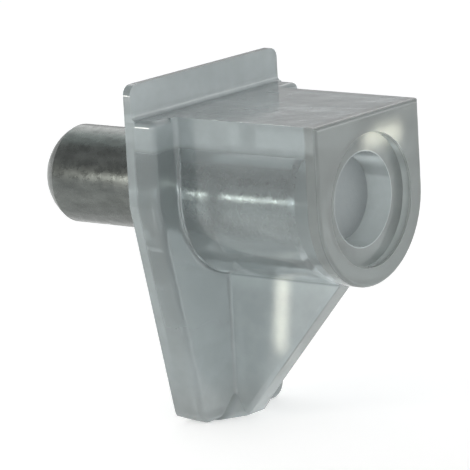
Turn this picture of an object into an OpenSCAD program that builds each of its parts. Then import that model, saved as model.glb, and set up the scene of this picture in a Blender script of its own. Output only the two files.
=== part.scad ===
// Shelf support pin: a round steel pin held in a clear moulded bracket.
// +X points out of the cabinet wall, Y runs along the shelf's end and +Z is up.
// The origin is on the pin's axis, at the face of the bracket that lies on the wall.

/* [Steel pin] */
// Diameter of the pin, a little under that of the hole that it goes into
pin_d = 4.8; // [4:0.1:6]
// How far the pin's tip reaches into the wall, from the bracket's wall face
pin_reach = 9; // [7:0.1:12]
// Length of the domed nose
nose_h = 1.5; // [0.8:0.1:2]
// How far the pin reaches into the bracket, from the wall face
pin_bed = 8.15; // [5:0.05:8.4]
// How much the taper at the pin's inner end takes off its radius
taper = 0.4; // [0.3:0.05:0.7]
// Length of that taper
taper_length = 0.85; // [0.4:0.05:1.2]
// Width of the shallow groove that locks the pin into the bracket
groove_w = 0.6; // [0.6:0.1:1]
// Depth of that groove
groove_depth = 0.1; // [0.05:0.05:0.2]
// How far inside the wall face the groove starts
groove_start = 0.1; // [0.05:0.05:0.2]

/* [Fit] */
// Clearance between the pin and its bore in the bracket
pin_fit = 0.02; // [0.01:0.005:0.04]

/* [Flange and tab] */
// Width of the flange and of the tab above it
flange_w = 11.4; // [10:0.1:16]
// Thickness of the flange
flange_t = 1.7; // [1.2:0.1:2.5]
// Width of the flange's foot, before its corners are rounded
foot_w = 6.25; // [4:0.05:8]
// How far the foot reaches below the pin's axis
foot_drop = 11; // [9:0.1:14]
// Corner radius of the foot
foot_r = 0.8; // [0.5:0.1:1.5]
// How much the foot's underside rises towards the wall
heel_rise = 0.3; // [0.1:0.05:0.6]
// Rounding of the flange's front edges, and of its shoulders beside the block
flange_edge_r = 0.3; // [0.2:0.05:0.5]
// How far the tab stands above the shelf seat
tab_rise = 1.65; // [1:0.05:3]
// Thickness of the tab
tab_t = 0.4; // [0.3:0.05:0.8]
// Corner radius of the tab
tab_r = 0.5; // [0.3:0.05:0.8]
// Fillet between the tab and the shelf seat
tab_fillet = 0.2; // [0.1:0.05:0.3]

/* [Shelf block] */
// How far the block stands out from the wall
reach = 9.85; // [9:0.05:14]
// Height of the shelf seat above the pin's axis
seat_h = 4.1; // [3.6:0.1:6]
// Plastic around the pin, on the sides and below
barrel_wall = 1.7; // [1.2:0.1:2]
// Fillet between the block and the flange
block_fillet = 0.25; // [0.2:0.05:0.6]
// Rounding of the block's front edges
block_edge_r = 0.2; // [0.15:0.05:0.4]

/* [Front recess] */
// Width of the rim that is left around the recess
recess_rim = 0.9; // [0.6:0.05:1.1]
// Depth of the recess
recess_depth = 0.5; // [0.2:0.1:1]
// Width of the shoulder that holds the pin's inner end
pin_shoulder = 0.15; // [0.1:0.05:0.25]

/* [Rib] */
// Thickness of the rib under the block
rib_t = 1.4; // [0.8:0.1:2]
// How far behind the block's front face the rib starts
rib_setback = 1.65; // [1:0.05:3]
// How far the rib still stands out from the flange at the foot
rib_toe = 0.65; // [0.4:0.05:1]
// Rounding of the rib's sloping edges
rib_edge_r = 0.25; // [0.1:0.05:0.4]
// Fillet between the rib and the flange
rib_fillet = 0.2; // [0.1:0.05:0.3]
// Height of the gussets that spread the rib's toe over the foot
gusset_h = 1.2; // [0.5:0.1:3]

/* [Hidden] */

arc_fn = 96;
pin_r = pin_d / 2;
bore_r = pin_r + pin_fit;
barrel_r = pin_r + barrel_wall;
recess_r = barrel_r - recess_rim;
hole_r = pin_r - pin_shoulder;
tab_top = seat_h + tab_rise;

// The groove is an arc this large, and this is the arc's centre
groove_arc_r = (groove_w * groove_w / 4 + groove_depth * groove_depth) / (2 * groove_depth);
groove_centre = [pin_r - groove_depth + groove_arc_r, groove_start + groove_w / 2];

// The bore's end is a cone that lies along the pin's taper
taper_angle = atan(taper / taper_length);
cone_start = pin_bed - taper_length + pin_fit * (1 / cos(taper_angle) - 1) / tan(taper_angle);
cone_end = cone_start + (bore_r - hole_r) / tan(taper_angle);

// How far one moulded form runs into the next, and how far a cut runs past a face
bite = 0.5;
past = 1;

// Lean of the flange's side from the upright, and the centre of the foot's corner
side_lean = atan((flange_w - foot_w) / 2 / foot_drop);
foot_corner_z = foot_r - foot_drop;
foot_corner_y = foot_w / 2 + foot_r * tan(side_lean) - foot_r / cos(side_lean);
side_length = (foot_r * sin(side_lean) - foot_corner_z) / cos(side_lean);

// Lean of the rib's free edge from the upright
rib_front = reach - rib_setback;
rib_foot = flange_t + rib_toe;
rib_lean = atan((rib_front - rib_foot) / (foot_drop - barrel_r));
rib_length = (foot_drop - barrel_r) / cos(rib_lean);

// The edge of a gusset's foot, seen from above: its length, its turn, and how far it passes
// in front of the corner between the rib and the flange
gusset_run = [foot_corner_y - rib_t / 2, rib_toe + flange_edge_r];
gusset_turn = atan(gusset_run.y / gusset_run.x);
gusset_reach = rib_toe * cos(gusset_turn);

// Extrudes an outline drawn in Y and Z, from x0 outwards
module from_wall(x0, depth) {
    translate([x0, 0, 0])
        rotate([90, 0, 90])
            linear_extrude(depth)
                children();
}

// Extrudes an outline drawn in X and Z evenly to both sides
module across(width) {
    translate([0, width / 2, 0])
        rotate([90, 0, 0])
            linear_extrude(width)
                children();
}

// Round cut on the pin's axis, from x0 to x1
module axial_cut(r, x0, x1) {
    translate([x0, 0, 0])
        rotate([0, 90, 0])
            cylinder(h = x1 - x0, r = r, $fn = arc_fn);
}

// What a rounding of radius r takes off an edge, centred on the rounding's own centre
module edge_waste(r) {
    difference() {
        square(r + past);
        circle(r, $fn = arc_fn);
    }
}

// Upright sides below the shelf, then leaning sides down to the foot's round corners
module flange_outline() {
    polygon([
        [-flange_w / 2, seat_h],
        [-flange_w / 2, 0],
        [-foot_corner_y - foot_r * cos(side_lean), foot_corner_z - foot_r * sin(side_lean)],
        [-foot_corner_y, -foot_drop],
        [foot_corner_y, -foot_drop],
        [foot_corner_y + foot_r * cos(side_lean), foot_corner_z - foot_r * sin(side_lean)],
        [flange_w / 2, 0],
        [flange_w / 2, seat_h]
    ]);
    for (side = [-1, 1])
        translate([side * foot_corner_y, foot_corner_z])
            circle(foot_r, $fn = arc_fn);
}

module tab_outline() {
    translate([-flange_w / 2, 0])
        square([flange_w, tab_top - tab_r]);
    translate([tab_r - flange_w / 2, 0])
        square([flange_w - 2 * tab_r, tab_top]);
    for (side = [-1, 1])
        translate([side * (flange_w / 2 - tab_r), tab_top - tab_r])
            circle(tab_r, $fn = arc_fn);
}

// Waste around the shoulder on the +Y side: its front edge, its corner and its outer edge
module shoulder_waste() {
    corner = [flange_t - flange_edge_r, flange_w / 2 - flange_edge_r, seat_h - flange_edge_r];
    ledge_x = tab_t + tab_fillet;
    translate(corner)
        rotate([90, 0, 0])
            linear_extrude(corner.y)
                edge_waste(flange_edge_r);
    translate(corner)
        difference() {
            cube(flange_edge_r + past);
            sphere(flange_edge_r, $fn = arc_fn);
        }
    from_wall(ledge_x, corner.x - ledge_x)
        translate([corner.y, corner.z])
            edge_waste(flange_edge_r);
}

// Waste along the flange's front edges on the +Y side, from the seat down and round to the foot's middle
module side_edge_waste() {
    centre_x = flange_t - flange_edge_r;
    translate([centre_x, flange_w / 2 - flange_edge_r, 0])
        linear_extrude(seat_h + past)
            edge_waste(flange_edge_r);
    translate([0, flange_w / 2, 0])
        rotate([-side_lean, 0, 0])
            translate([centre_x, -flange_edge_r, -side_length - flange_edge_r])
                linear_extrude(side_length + flange_edge_r)
                    edge_waste(flange_edge_r);
    translate([centre_x, foot_corner_y, foot_corner_z])
        rotate([90, 0, 90])
            rotate([0, 0, -90])
                rotate_extrude(angle = 90 - side_lean, $fn = arc_fn)
                    translate([foot_r - flange_edge_r, 0])
                        edge_waste(flange_edge_r);
    translate([centre_x, 0, flange_edge_r - foot_drop])
        rotate([-90, 0, 0])
            linear_extrude(foot_corner_y + flange_edge_r)
                edge_waste(flange_edge_r);
}

module flange() {
    difference() {
        from_wall(0, flange_t)
            flange_outline();
        for (side = [0, 1])
            mirror([0, side, 0]) {
                side_edge_waste();
                shoulder_waste();
            }
    }
}

// Waste under the foot, so that its underside rises towards the wall
module heel_waste() {
    across(flange_w)
        polygon([
            [-past, heel_rise * (1 + past / flange_t) - foot_drop],
            [flange_t, -foot_drop],
            [flange_t, -foot_drop - past],
            [-past, -foot_drop - past]
        ]);
}

// Half outline of the block: X out of the wall, Y out from the pin's axis
module block_outline() {
    translate([flange_t - bite, 0])
        square([reach - block_edge_r - flange_t + bite, barrel_r]);
    translate([flange_t - bite, 0])
        square([reach - flange_t + bite, barrel_r - block_edge_r]);
    translate([reach - block_edge_r, barrel_r - block_edge_r])
        circle(block_edge_r, $fn = arc_fn);
    difference() {
        translate([flange_t - bite, 0])
            square([bite + block_fillet, barrel_r + block_fillet]);
        translate([flange_t + block_fillet, barrel_r + block_fillet])
            circle(block_fillet, $fn = arc_fn);
    }
}

// Square upper half under the shelf, and half-round lower half around the pin
module block() {
    difference() {
        linear_extrude(seat_h) {
            block_outline();
            mirror([0, 1, 0])
                block_outline();
        }
        translate([reach - block_edge_r, barrel_r + past, seat_h - block_edge_r])
            rotate([90, 0, 0])
                linear_extrude(2 * barrel_r + 2 * past)
                    edge_waste(block_edge_r);
    }
    rotate([0, 90, 0])
        rotate([0, 0, -90])
            rotate_extrude(angle = 180, $fn = arc_fn)
                mirror([1, -1, 0])
                    block_outline();
}

// Waste along the rib's sloping edge on the +Y side
module rib_edge_waste() {
    translate([rib_foot, 0, -foot_drop])
        rotate([0, rib_lean, 0])
            translate([-rib_edge_r, rib_t / 2 - rib_edge_r, -past])
                linear_extrude(rib_length + 2 * past)
                    edge_waste(rib_edge_r);
}

// Fillet between the rib and the flange on the +Y side
module rib_root() {
    translate([0, 0, -foot_drop])
        linear_extrude(foot_drop - barrel_r + bite)
            difference() {
                translate([flange_t - bite, rib_t / 2 - bite])
                    square(bite + rib_fillet);
                translate([flange_t + rib_fillet, rib_t / 2 + rib_fillet])
                    circle(rib_fillet, $fn = arc_fn);
            }
}

// Gusset at the rib's toe on the +Y side, with one leaning face
module gusset() {
    translate([0, 0, -foot_drop])
        difference() {
            linear_extrude(gusset_h)
                polygon([
                    [flange_t - flange_edge_r, 0],
                    [rib_foot, 0],
                    [rib_foot, rib_t / 2],
                    [flange_t - flange_edge_r, foot_corner_y]
                ]);
            translate([rib_foot, rib_t / 2, 0])
                rotate([0, 0, gusset_turn])
                    rotate([0, -atan(gusset_reach / gusset_h), 0])
                        translate([0, -past - rib_t, -past])
                            cube([past + rib_toe, foot_w, gusset_h + 3 * past]);
        }
}

module rib() {
    top_z = bite - barrel_r;
    difference() {
        across(rib_t)
            polygon([
                [flange_t - bite, top_z],
                [rib_front + bite * tan(rib_lean), top_z],
                [rib_foot, -foot_drop],
                [flange_t - bite, -foot_drop]
            ]);
        for (side = [0, 1])
            mirror([0, side, 0])
                rib_edge_waste();
    }
    for (side = [0, 1])
        mirror([0, side, 0]) {
            rib_root();
            gusset();
        }
}

module tab() {
    from_wall(0, tab_t)
        tab_outline();
    across(flange_w)
        difference() {
            translate([tab_t - tab_fillet, seat_h - tab_fillet])
                square(2 * tab_fillet);
            translate([tab_t + tab_fillet, seat_h + tab_fillet])
                circle(tab_fillet, $fn = arc_fn);
        }
}

// Space for the pin, with the ridge that stands in its groove
module pin_bore() {
    rotate([0, 90, 0])
        rotate_extrude($fn = arc_fn)
            difference() {
                polygon([
                    [0, -past],
                    [bore_r, -past],
                    [bore_r, cone_start],
                    [hole_r, cone_end],
                    [0, cone_end]
                ]);
                translate(groove_centre)
                    circle(groove_arc_r - pin_fit, $fn = arc_fn);
            }
}

module clear_bracket() {
    color("lightcyan", 0.5)
        difference() {
            union() {
                flange();
                tab();
                block();
                rib();
            }
            heel_waste();
            pin_bore();
            axial_cut(hole_r, cone_start - past, reach + past);
            axial_cut(recess_r, reach - recess_depth, reach + past);
        }
}

// Half section of the pin: X out from its axis, Y along it
module pin_outline() {
    dome_r = (pin_r * pin_r + nose_h * nose_h) / (2 * nose_h);
    dome_centre = dome_r - pin_reach;
    intersection() {
        translate([0, dome_centre])
            circle(dome_r, $fn = arc_fn);
        translate([0, -pin_reach])
            square([pin_r, dome_r]);
    }
    difference() {
        polygon([
            [0, dome_centre],
            [pin_r, dome_centre],
            [pin_r, pin_bed - taper_length],
            [pin_r - taper, pin_bed],
            [0, pin_bed]
        ]);
        translate(groove_centre)
            circle(groove_arc_r, $fn = arc_fn);
    }
}

module steel_pin() {
    color("silver")
        rotate([0, 90, 0])
            rotate_extrude($fn = arc_fn)
                pin_outline();
}

clear_bracket();
steel_pin();
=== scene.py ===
"""Shelf support pin: a clear moulded bracket around a plated steel pin, on a plain white floor."""

import math
from types import SimpleNamespace

import bpy
from mathutils import Matrix, Vector


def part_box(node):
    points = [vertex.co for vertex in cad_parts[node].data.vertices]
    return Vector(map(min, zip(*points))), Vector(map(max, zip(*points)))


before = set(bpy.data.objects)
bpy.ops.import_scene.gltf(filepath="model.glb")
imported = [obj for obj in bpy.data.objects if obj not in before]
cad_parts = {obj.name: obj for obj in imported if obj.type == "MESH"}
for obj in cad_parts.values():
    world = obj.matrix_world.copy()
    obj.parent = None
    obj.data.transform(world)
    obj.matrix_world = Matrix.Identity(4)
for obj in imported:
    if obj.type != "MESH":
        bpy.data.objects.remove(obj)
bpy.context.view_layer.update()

MM = 0.001

# Camera, as a place on a sphere around the point that it looks at
CAMERA_AZIMUTH = math.radians(38.12)
CAMERA_ELEVATION = math.radians(11.89)
CAMERA_ROLL = math.radians(-3.25)
CAMERA_DISTANCE = 200 * MM
CAMERA_AIM = Vector((1.36, 0.41, -2.46)) * MM
CAMERA_LENS_MM = 320.5
CAMERA_SENSOR_MM = 36
CAMERA_NEAREST = 1 * MM
CAMERA_FARTHEST = 10

# Low sky, middle sky and sky overhead. They meet between these heights, as the Z of a direction.
LOW_MEETS_MIDDLE = (0.12, 0.36)
MIDDLE_MEETS_OVERHEAD = (0.55, 0.8)
# Radiance of the low and the middle sky, in even steps of azimuth from +X towards +Y
LOW_SKY = (2.0, 4.0, 1.5, 0.3, 0.9, 0.2, 1.4, 7.2)
MIDDLE_SKY = (0.3, 1.0, 2.0, 1.2, 0.3, 0.3)
# Radiance overhead on the far side and on the camera's side. One turns into the other between
# two distances towards the camera.
OVERHEAD = (0.25, 0.45)
OVERHEAD_TURNS = (-0.3, 0.3)
TOWARDS_CAMERA_X = 0.617
TOWARDS_CAMERA_Y = -0.787

# Soft window in the sky. It fades out between two distances from its middle: in degrees of
# azimuth, and in Z.
WINDOW_AZIMUTH = 157
WINDOW_HEIGHT = 0.74
WINDOW_FADES_ACROSS = (18, 38)
WINDOW_FADES_UP = (0.06, 0.14)
WINDOW_RADIANCE = (0.704, 0.8, 0.8)

# Lamps: sizes and places in mm, angles in degrees, power in W
LAMPS = {
    "pin": dict(
        place=(-14.3, -26, 3.5), aim=(17.5, 25, -3.5), width=9.5, height=3.4,
        turn=0, spread=180, power=2.1e-3, colour=(1.0, 0.97, 0.9),
    ),
    "rib": dict(
        place=(4.75, -16, -5.8), aim=(0, 1, 0), width=0.42, height=3.5,
        turn=-6, spread=5, power=1.2e-5, colour=(1.0, 0.87, 0.71),
    ),
    "front": dict(
        place=(25, 1.4, 2.8), aim=(-1, 0, 0), width=2.2, height=0.7,
        turn=0, spread=6, power=2.5e-5, colour=(1.0, 0.9, 0.75),
    ),
}

FLOOR_SIZE = 4
FLOOR_ALBEDO = 0.9
FLOOR_GLOW = 0.41

# Edges of the bracket's regions, in mm. X is the distance from the wall, Z the height above the
# pin's axis and R the distance from that axis. A pair is where an edge starts and ends to fade.
TAB_FRONT_X = (0.4, 0.6)
ROOT_FRONT_X = (0.7, 1.1)
ROOT_LOW_Z = (4.0, 4.05)
ROOT_HIGH_Z = (4.3, 4.5)
FLANGE_FRONT_X = (1.7, 2)
UPPER_Z = (2.5, 2.9)
RIB_TOP_Z = (-4.2, -4)
SLOPE_LOW_Z = (-10, -8.5)
FOOT_TOP_Z = (-10.2, -8.5)
FRONT_X = (9.1, 9.3)
DULL_X = (9.35, 9.8)
BORE_R = 2.54
BORE_FRONT_X = 7.64
HOLE_R = 2.3
RECESS_R = 3.2
RECESS_R_MARGIN = 0.01
# Heights where the plastic starts to clear up, in the flange and in front of it, and where it
# is clear
CLEAR_FROM_Z = (-9, -5)
CLEAR_AT_Z = -4.1
# The rib's sloping edge: X and Z of the direction that it faces, and how far out it lies
SLOPE_OUT_X = 0.763
SLOPE_OUT_Z = -0.647
SLOPE_DISTANCE = (8.86, 8.9)

# Plastic: share of haze, colour and roughness by region. The clouds are factors on the haze.
WALL_HAZE = 0.55
BLOCK_HAZE = 0.24
ROOT_HAZE = 0.68
UPPER_HAZE = 0.7
RIB_HAZE = 0.78
HAZE_CLOUDS = (0.94, 1.06)
WALL_COLOUR = (0.36, 0.405, 0.41)
BLOCK_COLOUR = (0.43, 0.485, 0.49)
UPPER_COLOUR = (0.312, 0.355, 0.36)
# Painted shade: the foot is darker, standing in for the floor's shadow seen through it
FOOT_PAINTED_SHADE = (0.35, 0.385, 0.385)
# Painted shade: the front face and the rib's sloping face are darker, holding down the light that
# they catch
FRONT_AND_SLOPE_PAINTED_SHADE = (0.245, 0.27, 0.264)
# Painted light: the recess wall is lighter than the front around it, evening out the shade on it
RIM_PAINTED_LIGHT = (0.37, 0.405, 0.395)
# Painted light: the hole's wall is lighter than the front, lifting the shade inside the hole
HOLE_PAINTED_LIGHT = (0.445, 0.49, 0.49)
BORE_COLOUR = (0.95, 0.96, 0.96)
PLASTIC_ROUGHNESS = 0.12
FRONT_ROUGHNESS = 0.28
PLASTIC_IOR = 1.5
PLASTIC_WAVES = 0.02 * MM

# Steel: X of the pin's regions in mm, as above, its finish and its painted light. The clouds and
# the nose's gain are factors on the colour, and the grain is added to the roughness.
NOSE_X = (-8.6, -6.8)
WORN_X = (-2.2, -0.5)
INSIDE_X = (-0.3, 0.3)
END_X = (8.1, 8.14)
STEEL_OUTSIDE = (0.13, 0.14, 0.134)
# Painted light: the steel inside the bracket is lighter, making up for the light that the plastic
# takes away
STEEL_INSIDE_PAINTED_LIGHT = (0.36, 0.38, 0.375)
# Painted light: the pin's end face is lighter than the outer steel, lifting the shade at the
# bottom of the hole
STEEL_END_PAINTED_LIGHT = (0.225, 0.25, 0.255)
STEEL_CLOUDS = (0.82, 1.15)
# Painted light: the gain brightens the pin's domed nose
NOSE_PAINTED_LIGHT_GAIN = 1.5
END_METALLIC = 0.2
OUTSIDE_ROUGHNESS = 0.27
INSIDE_ROUGHNESS = 0.28
END_ROUGHNESS = 0.5
STEEL_GRAIN = (-0.06, 0.08)
STEEL_DENTS = 0.006 * MM
OUTSIDE_DENTS = 1.6
INSIDE_DENTS = 0.5
INSIDE_LINES = 3

# The part of a noise texture's values that is spread over a range
NOISE_SPAN = (0.3, 0.7)


def make_camera():
    """A long lens at the photograph's angle."""
    azimuth, elevation = CAMERA_AZIMUTH, CAMERA_ELEVATION
    back = Vector((
        math.sin(azimuth) * math.cos(elevation),
        -math.cos(azimuth) * math.cos(elevation),
        math.sin(elevation),
    ))
    right = Vector((math.cos(azimuth), math.sin(azimuth), 0))
    up = back.cross(right)
    turn = Matrix.Rotation(CAMERA_ROLL, 3, back)
    axes = Matrix((turn @ right, turn @ up, back)).transposed()
    data = bpy.data.cameras.new("camera")
    data.lens = CAMERA_LENS_MM
    data.sensor_width = CAMERA_SENSOR_MM
    data.clip_start = CAMERA_NEAREST
    data.clip_end = CAMERA_FARTHEST
    camera = bpy.data.objects.new("camera", data)
    place = Matrix.Translation(CAMERA_AIM + back * CAMERA_DISTANCE)
    camera.matrix_world = place @ axes.to_4x4()
    bpy.context.scene.collection.objects.link(camera)
    bpy.context.scene.camera = camera


class Nodes:
    """Short calls for making and linking shader nodes."""

    def __init__(self, tree):
        self.tree = tree
        tree.nodes.clear()

    def add(self, kind, **settings):
        node = self.tree.nodes.new(kind)
        for name, value in settings.items():
            setattr(node, name, value)
        return node

    def link(self, source, target):
        self.tree.links.new(source, target)

    def put(self, socket, value):
        if isinstance(value, bpy.types.NodeSocket):
            self.link(value, socket)
        else:
            socket.default_value = value

    def math(self, operation, *values):
        node = self.add("ShaderNodeMath", operation=operation)
        for socket, value in zip(node.inputs, values):
            self.put(socket, value)
        return node.outputs[0]

    def product(self, first, *others):
        for other in others:
            first = self.math("MULTIPLY", first, other)
        return first

    def fit(self, value, source, target=(0, 1), smooth=True):
        """Carries a value from one range to another, and keeps it there."""
        curve = "SMOOTHSTEP" if smooth else "LINEAR"
        node = self.add("ShaderNodeMapRange", interpolation_type=curve)
        for socket, number in zip(node.inputs, (value, *source, *target)):
            self.put(socket, number)
        return node.outputs[0]

    def between(self, mask, a, b):
        """Goes from a to b as the mask goes from 0 to 1."""
        return self.fit(mask, (0, 1), (a, b), smooth=False)

    def above(self, value, edge, target=(0, 1)):
        """Goes from 0 to 1, or over the target, across an edge in mm."""
        return self.fit(value, (edge[0] * MM, edge[1] * MM), target)

    def below(self, value, edge):
        """Goes from 1 to 0 across an edge in mm."""
        return self.above(value, edge, (1, 0))

    def mix(self, mask, a, b):
        """Mixes two colours."""
        node = self.add("ShaderNodeMix", data_type="RGBA")
        self.put(node.inputs[0], mask)
        for socket, colour in zip((node.inputs[6], node.inputs[7]), (a, b)):
            self.put(socket, (*colour, 1) if isinstance(colour, tuple) else colour)
        return node.outputs[2]

    def scaled(self, vector, factor):
        node = self.add("ShaderNodeVectorMath", operation="SCALE")
        self.put(node.inputs[0], vector)
        self.put(node.inputs["Scale"], factor)
        return node.outputs[0]

    def axes(self, kind):
        """X, Y and Z of texture coordinates."""
        node = self.add("ShaderNodeSeparateXYZ")
        self.link(self.add("ShaderNodeTexCoord").outputs[kind], node.inputs[0])
        return node.outputs

    def noise(self, scale, detail, roughness=0.5, stretch=(1, 1, 1)):
        """Noise over the object, where a stretch under 1 draws it out along that axis."""
        mapping = self.add("ShaderNodeMapping")
        mapping.inputs["Scale"].default_value = stretch
        self.link(self.add("ShaderNodeTexCoord").outputs["Object"], mapping.inputs["Vector"])
        node = self.add("ShaderNodeTexNoise")
        self.link(mapping.outputs["Vector"], node.inputs["Vector"])
        node.inputs["Scale"].default_value = scale
        node.inputs["Detail"].default_value = detail
        node.inputs["Roughness"].default_value = roughness
        return node.outputs["Fac"]

    def bump(self, height, distance):
        node = self.add("ShaderNodeBump")
        node.inputs["Strength"].default_value = 1
        node.inputs["Distance"].default_value = distance
        self.link(height, node.inputs["Height"])
        return node.outputs[0]


def new_material(name):
    """A material with its nodes' helper and its output socket."""
    material = bpy.data.materials.new(name)
    material.use_nodes = True
    n = Nodes(material.node_tree)
    return material, n, n.add("ShaderNodeOutputMaterial").inputs["Surface"]


def plastic_regions(n, x, y, z):
    """Masks over the bracket, each 1 in its region and 0 elsewhere."""
    radius = n.math("SQRT", n.math("ADD", n.product(y, y), n.product(z, z)))
    bore = n.product(
        n.math("LESS_THAN", radius, BORE_R * MM),
        n.math("LESS_THAN", x, BORE_FRONT_X * MM),
    )
    hole = n.product(
        n.math("LESS_THAN", radius, HOLE_R * MM),
        n.math("GREATER_THAN", x, BORE_FRONT_X * MM),
    )
    # The front face and the recess in it
    front = n.above(x, FRONT_X)
    rim = n.product(n.math("COMPARE", radius, RECESS_R * MM, RECESS_R_MARGIN * MM), front)
    # Clear plastic around the pin, but not in the tab, the front, or low in the rib and flange
    clear_from = n.above(x, FLANGE_FRONT_X, [height * MM for height in CLEAR_FROM_Z])
    clear = n.product(
        n.above(x, TAB_FRONT_X),
        n.fit(z, (clear_from, CLEAR_AT_Z * MM)),
        n.math("SUBTRACT", 1, n.math("MAXIMUM", front, hole)),
    )
    outward = n.math("ADD", n.product(x, SLOPE_OUT_X), n.product(z, SLOPE_OUT_Z))
    slope = n.product(
        n.above(outward, SLOPE_DISTANCE), n.below(z, RIB_TOP_Z), n.above(z, SLOPE_LOW_Z),
    )
    # The tab's root, and the plastic under the shelf's seat
    root = n.product(
        n.below(x, ROOT_FRONT_X), n.above(z, ROOT_LOW_Z), n.below(z, ROOT_HIGH_Z),
    )
    upper = n.product(clear, n.above(z, UPPER_Z))
    return SimpleNamespace(
        bore=bore, hole=hole, front=front, rim=rim, clear=clear, slope=slope, root=root,
        upper=upper, foot=n.below(z, FOOT_TOP_Z),
        rib=n.product(n.above(x, FLANGE_FRONT_X), n.below(z, RIB_TOP_Z)),
    )


def plastic_tint(n, regions):
    """The colour by region, each laid over the ones before it, with painted shade and painted
    light.
    """
    tint = n.mix(regions.clear, WALL_COLOUR, BLOCK_COLOUR)
    # Painted shade at the foot
    tint = n.mix(regions.foot, tint, FOOT_PAINTED_SHADE)
    # Painted shade on the front face and on the rib's sloping face
    tint = n.mix(n.math("MAXIMUM", regions.front, regions.slope), tint, FRONT_AND_SLOPE_PAINTED_SHADE)
    # Painted light on the recess wall
    tint = n.mix(regions.rim, tint, RIM_PAINTED_LIGHT)
    # Painted light on the hole's wall
    tint = n.mix(regions.hole, tint, HOLE_PAINTED_LIGHT)
    tint = n.mix(regions.bore, tint, BORE_COLOUR)
    return n.mix(regions.upper, tint, UPPER_COLOUR)


def plastic_haze(n, regions):
    """The share of light that the plastic scatters, with faint clouds in it."""
    haze = n.between(regions.clear, WALL_HAZE, BLOCK_HAZE)
    haze = n.between(regions.root, haze, ROOT_HAZE)
    haze = n.between(regions.upper, haze, UPPER_HAZE)
    haze = n.between(regions.rib, haze, RIB_HAZE)
    clouds = n.fit(n.noise(scale=900, detail=3), NOISE_SPAN, HAZE_CLOUDS)
    return n.product(haze, clouds, n.math("SUBTRACT", 1, regions.bore))


def make_plastic():
    """Clear plastic with haze by region and faint waves, duller on the front."""
    material, n, surface = new_material("clear_plastic")
    body = n.add("ShaderNodeBsdfPrincipled")
    x, y, z = n.axes("Object")
    regions = plastic_regions(n, x, y, z)
    roughness = n.above(x, DULL_X, (PLASTIC_ROUGHNESS, FRONT_ROUGHNESS))
    haze = plastic_haze(n, regions)
    n.link(plastic_tint(n, regions), body.inputs["Base Color"])
    n.link(n.math("SUBTRACT", 1, haze), body.inputs["Transmission Weight"])
    n.link(roughness, body.inputs["Roughness"])
    body.inputs["IOR"].default_value = PLASTIC_IOR
    n.link(n.bump(n.noise(scale=700, detail=2), PLASTIC_WAVES), body.inputs["Normal"])
    n.link(body.outputs["BSDF"], surface)
    return material


def make_steel():
    """Mottled plating with lengthwise lines on the inner pin; painted light on the inner pin, its
    end and its nose.
    """
    material, n, surface = new_material("plated_steel")
    body = n.add("ShaderNodeBsdfPrincipled")
    x = n.axes("Object")[0]
    inside = n.above(x, INSIDE_X)
    end = n.above(x, END_X)

    # Painted light: lighter steel inside the bracket
    colour = n.mix(inside, STEEL_OUTSIDE, STEEL_INSIDE_PAINTED_LIGHT)
    # Painted light: lighter steel on the end face
    colour = n.mix(end, colour, STEEL_END_PAINTED_LIGHT)
    clouds = n.noise(scale=1800, detail=4, roughness=0.6, stretch=(0.4, 1, 1))
    # Painted light: the nose's gain brightens the domed nose
    clouds = n.product(n.fit(clouds, NOISE_SPAN, STEEL_CLOUDS), n.above(x, NOSE_X, (NOSE_PAINTED_LIGHT_GAIN, 1)))
    clouds = n.between(end, clouds, 1)
    n.link(n.scaled(colour, clouds), body.inputs["Base Color"])
    n.link(n.between(end, 1, END_METALLIC), body.inputs["Metallic"])

    worn = n.above(x, WORN_X, (OUTSIDE_ROUGHNESS, INSIDE_ROUGHNESS))
    worn = n.math("MAXIMUM", worn, n.product(end, END_ROUGHNESS))
    grain = n.fit(n.noise(scale=2500, detail=4, roughness=0.6), NOISE_SPAN, STEEL_GRAIN)
    n.link(n.math("ADD", grain, worn), body.inputs["Roughness"])

    dents = n.product(
        n.noise(scale=2200, detail=4, roughness=0.6),
        n.between(inside, OUTSIDE_DENTS, INSIDE_DENTS),
    )
    lines = n.noise(scale=4500, detail=3, roughness=0.6, stretch=(0.15, 1, 1))
    lines = n.product(lines, n.product(inside, INSIDE_LINES))
    n.link(n.bump(n.math("ADD", dents, lines), STEEL_DENTS), body.inputs["Normal"])
    n.link(body.outputs["BSDF"], surface)
    return material


def make_lamps():
    """The streak on the pin, the band on the rib and the patch on the front."""
    for name, lamp in LAMPS.items():
        data = bpy.data.lights.new(name, "AREA")
        data.shape = "RECTANGLE"
        data.size = lamp["width"] * MM
        data.size_y = lamp["height"] * MM
        data.spread = math.radians(lamp["spread"])
        data.energy = lamp["power"]
        data.color = lamp["colour"]
        place = Matrix.Translation(Vector(lamp["place"]) * MM)
        aim = Vector(lamp["aim"]).to_track_quat("-Z", "Y").to_matrix().to_4x4()
        turn = Matrix.Rotation(math.radians(lamp["turn"]), 4, "Z")
        light = bpy.data.objects.new(name, data)
        light.matrix_world = place @ (aim @ turn)
        light.visible_camera = False
        bpy.context.scene.collection.objects.link(light)


def make_stage(floor_z):
    """A floor that glows enough to look white and still takes the object's shadow."""
    material, n, surface = new_material("floor")
    both = n.add("ShaderNodeAddShader")
    diffuse = n.add("ShaderNodeBsdfDiffuse")
    diffuse.inputs["Color"].default_value = (FLOOR_ALBEDO, FLOOR_ALBEDO, FLOOR_ALBEDO, 1)
    glow = n.add("ShaderNodeEmission")
    glow.inputs["Strength"].default_value = FLOOR_GLOW
    n.link(diffuse.outputs[0], both.inputs[0])
    n.link(glow.outputs[0], both.inputs[1])
    n.link(both.outputs[0], surface)
    bpy.ops.mesh.primitive_plane_add(size=FLOOR_SIZE, location=(0, 0, floor_z))
    floor = bpy.context.object
    floor.name = "floor"
    floor.data.materials.append(material)


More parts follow.
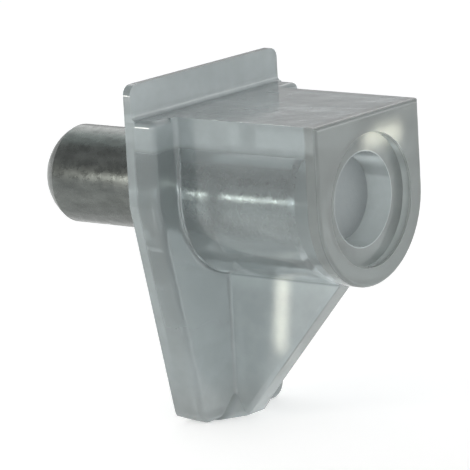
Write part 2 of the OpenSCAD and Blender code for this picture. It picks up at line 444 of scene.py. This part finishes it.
def ring(n, turn, levels):
    """Radiance around the sky, with one level for each even step of azimuth."""
    node = n.add("ShaderNodeValToRGB")
    ramp = node.color_ramp
    ramp.interpolation = "EASE"
    top = max(levels)
    for k, level in enumerate((*levels, levels[0])):
        if k == 0:
            stop = ramp.elements[0]
        elif k == len(levels):
            stop = ramp.elements[-1]
        else:
            stop = ramp.elements.new(k / len(levels))
        stop.color = (level / top, level / top, level / top, 1)
    n.link(turn, node.inputs[0])
    return n.product(node.outputs[0], top)


def sky(n, x, y, z, azimuth):
    """The plain sky's radiance."""
    turn = n.math("FRACT", n.math("DIVIDE", azimuth, math.tau))
    low = n.fit(z, LOW_MEETS_MIDDLE, (1, 0))
    high = n.fit(z, MIDDLE_MEETS_OVERHEAD)
    middle = n.math("SUBTRACT", n.math("SUBTRACT", 1, low), high)
    forward = n.math("ADD", n.product(x, TOWARDS_CAMERA_X), n.product(y, TOWARDS_CAMERA_Y))
    level = n.product(low, ring(n, turn, LOW_SKY))
    level = n.math("MULTIPLY_ADD", middle, ring(n, turn, MIDDLE_SKY), level)
    overhead = n.fit(forward, OVERHEAD_TURNS, OVERHEAD)
    return n.math("MULTIPLY_ADD", high, overhead, level)


def window(n, z, azimuth):
    """The soft window's radiance, as a colour."""
    off = n.math("SUBTRACT", azimuth, math.radians(WINDOW_AZIMUTH))
    across = n.math("ABSOLUTE", n.math("WRAP", off, math.pi, -math.pi))
    across = n.fit(across, [math.radians(angle) for angle in WINDOW_FADES_ACROSS], (1, 0))
    up = n.math("ABSOLUTE", n.math("SUBTRACT", z, WINDOW_HEIGHT))
    up = n.fit(up, WINDOW_FADES_UP, (1, 0))
    return n.scaled(WINDOW_RADIANCE, n.product(across, up))


def make_world():
    """A sky of even steps, with one soft window in it."""
    world = bpy.data.worlds.new("world")
    bpy.context.scene.world = world
    world.use_nodes = True
    n = Nodes(world.node_tree)
    x, y, z = n.axes("Generated")
    azimuth = n.math("ARCTAN2", y, x)
    level = sky(n, x, y, z, azimuth)
    grey = n.add("ShaderNodeCombineXYZ")
    for socket in grey.inputs:
        n.link(level, socket)
    total = n.add("ShaderNodeVectorMath", operation="ADD")
    n.link(grey.outputs[0], total.inputs[0])
    n.link(window(n, z, azimuth), total.inputs[1])
    background = n.add("ShaderNodeBackground")
    n.link(total.outputs[0], background.inputs["Color"])
    out = n.add("ShaderNodeOutputWorld")
    n.link(background.outputs[0], out.inputs["Surface"])


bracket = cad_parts["clear_bracket"]
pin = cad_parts["steel_pin"]

bpy.context.scene.view_settings.view_transform = "Standard"
make_camera()
make_world()
make_lamps()
make_stage(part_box("clear_bracket")[0].z)
bracket.material_slots[0].material = make_plastic()
pin.material_slots[0].material = make_steel()
